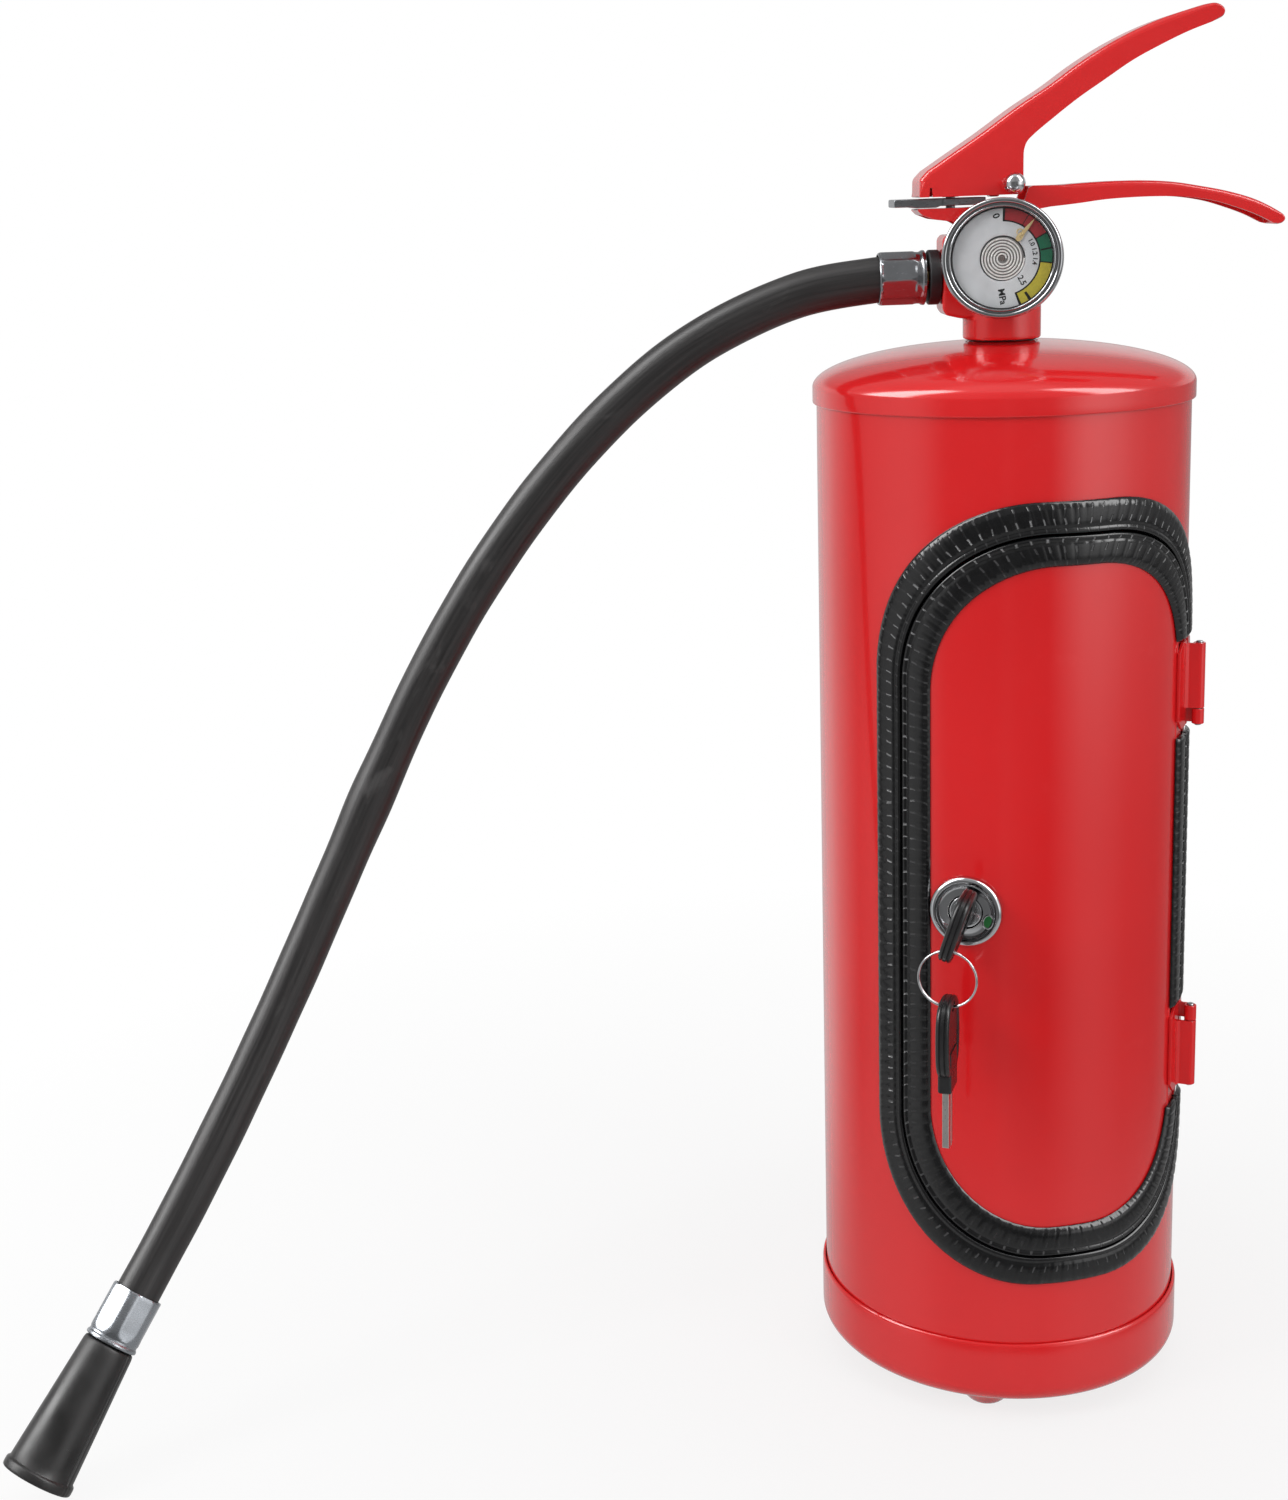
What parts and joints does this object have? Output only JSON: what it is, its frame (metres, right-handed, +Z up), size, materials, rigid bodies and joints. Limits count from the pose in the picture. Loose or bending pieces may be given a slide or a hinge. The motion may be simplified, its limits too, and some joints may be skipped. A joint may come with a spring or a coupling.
{
  "type": "fire extinguisher cabinet",
  "caption": "Lockable storage cabinet shaped as a red dry-powder fire extinguisher: steel cylinder with curved hinged door, cam lock, valve head, squeeze lever, gauge and hose with nozzle.",
  "frame": {"origin": "centre of the flat underside of the bottom cap, on the axis of the cylinder; the three pressed feet reach 6.5 mm below it", "axes": "+Z up along the axis of the cylinder, +X towards the tips of the squeeze lever and the carrying handle, the hose leaves towards -X, and the door and the gauge are on the -Y side"},
  "size_m": [0.4543, 0.1809, 0.4918],
  "materials": {
    "body_paint": "glossy red stoved paint",
    "valve_paint": "glossy red paint",
    "trim_rubber": "semi-gloss black embossed edge trim",
    "hose_rubber": "satin black",
    "seal_rubber": "matt black",
    "black_plastic": "semi-gloss black",
    "chrome": "polished",
    "zinc": "bright zinc plate",
    "steel": "plain steel",
    "brass": "plain brass",
    "dial_face": "satin printed dial",
    "lens": "clear"
  },
  "bodies": {
    "root": {"shell_body": "body_paint", "top_cap": "body_paint", "bottom_cap": "body_paint", "neck_ring": "body_paint", "neck_gasket": "seal_rubber", "body_trim": "trim_rubber", "body_trim_hinge_side": "trim_rubber", "upper_hinge_body_leaf": "body_paint", "lower_hinge_body_leaf": "body_paint", "upper_hinge_pin": "steel", "lower_hinge_pin": "steel", "valve_body": "valve_paint", "spring_retainer": "brass", "stem_spring": "steel", "fulcrum_plate": "zinc", "plate_rivet": "steel", "carry_handle": "valve_paint", "handle_rivet_front": "steel", "handle_rivet_rear": "steel", "gauge_case": "steel", "gauge_stem": "brass", "gauge_dial": "dial_face", "bourdon_coil": "brass", "gauge_lens": "lens", "gauge_bezel": "chrome", "hose_collar": "seal_rubber", "hose_nipple": "brass", "hose": "hose_rubber", "upper_ferrule": "zinc", "lower_ferrule": "zinc", "nozzle": "black_plastic"},
    "door": {"door_panel": "body_paint", "door_trim": "trim_rubber", "door_trim_hinge_side": "trim_rubber", "upper_hinge_door_leaf": "body_paint", "lower_hinge_door_leaf": "body_paint", "lock_body": "chrome", "lock_nut": "zinc"},
    "lock_cylinder": {"lock_plug": "chrome", "lock_cam": "zinc", "cam_screw": "steel"},
    "key_in_lock": {"key": "black_plastic"},
    "ring": {"key_ring": "zinc"},
    "hanging_key": {"spare_key": "black_plastic"},
    "lever": {"squeeze_lever": "valve_paint"},
    "pin": {"safety_pin": "chrome"},
    "stem": {"valve_stem": "steel", "stem_seal": "seal_rubber"},
    "needle": {"gauge_needle": "brass"}
  },
  "joints": [
    {"name": "door_hinge", "type": "hinge", "parent": "root", "child": "door", "pos_m": [0.06447, -0.02803, 0.1875], "axis": [0, 0, 1], "range_deg": [0, 110]},
    {"name": "lock_turn", "type": "hinge", "parent": "door", "child": "lock_cylinder", "pos_m": [-0.0186, -0.05282, 0.1854], "axis": [0.3322, 0.9432, 0], "range_deg": [0, 90]},
    {"name": "key_slide", "type": "slide", "parent": "lock_cylinder", "child": "key_in_lock", "axis": [-0.3322, -0.9432, 0], "range_m": [0, 0.022]},
    {"name": "ring_swing", "type": "hinge", "parent": "key_in_lock", "child": "ring", "pos_m": [-0.03111, -0.08128, 0.17807], "axis": [-0.9432, 0.3322, 0], "range_deg": [-5, 40]},
    {"name": "spare_key_swing", "type": "hinge", "parent": "ring", "child": "hanging_key", "pos_m": [-0.03111, -0.08128, 0.15847], "axis": [-0.9432, 0.3322, 0], "range_deg": [-12, 25]},
    {"name": "lever_squeeze", "type": "hinge", "parent": "root", "child": "lever", "pos_m": [-0.0294, 0, 0.4245], "axis": [0, 1, 0], "range_deg": [0, 13]},
    {"name": "safety_pin_pull", "type": "slide", "parent": "lever", "child": "pin", "axis": [0, 1, 0], "range_m": [-0.032, 0]},
    {"name": "stem_press", "type": "slide", "parent": "root", "child": "stem", "axis": [0, 0, -1], "range_m": [0, 0.0068], "deforming": ["stem_spring"]},
    {"name": "needle_turn", "type": "hinge", "parent": "root", "child": "needle", "pos_m": [-0.00523, -0.03008, 0.40374], "axis": [-0.2246, -0.973, 0.0523], "range_deg": [-118, 38]}
  ],
  "couplings": [
    {"joint": "stem_press", "follows": "lever_squeeze", "m_per_rad": 0.0285}
  ]
}
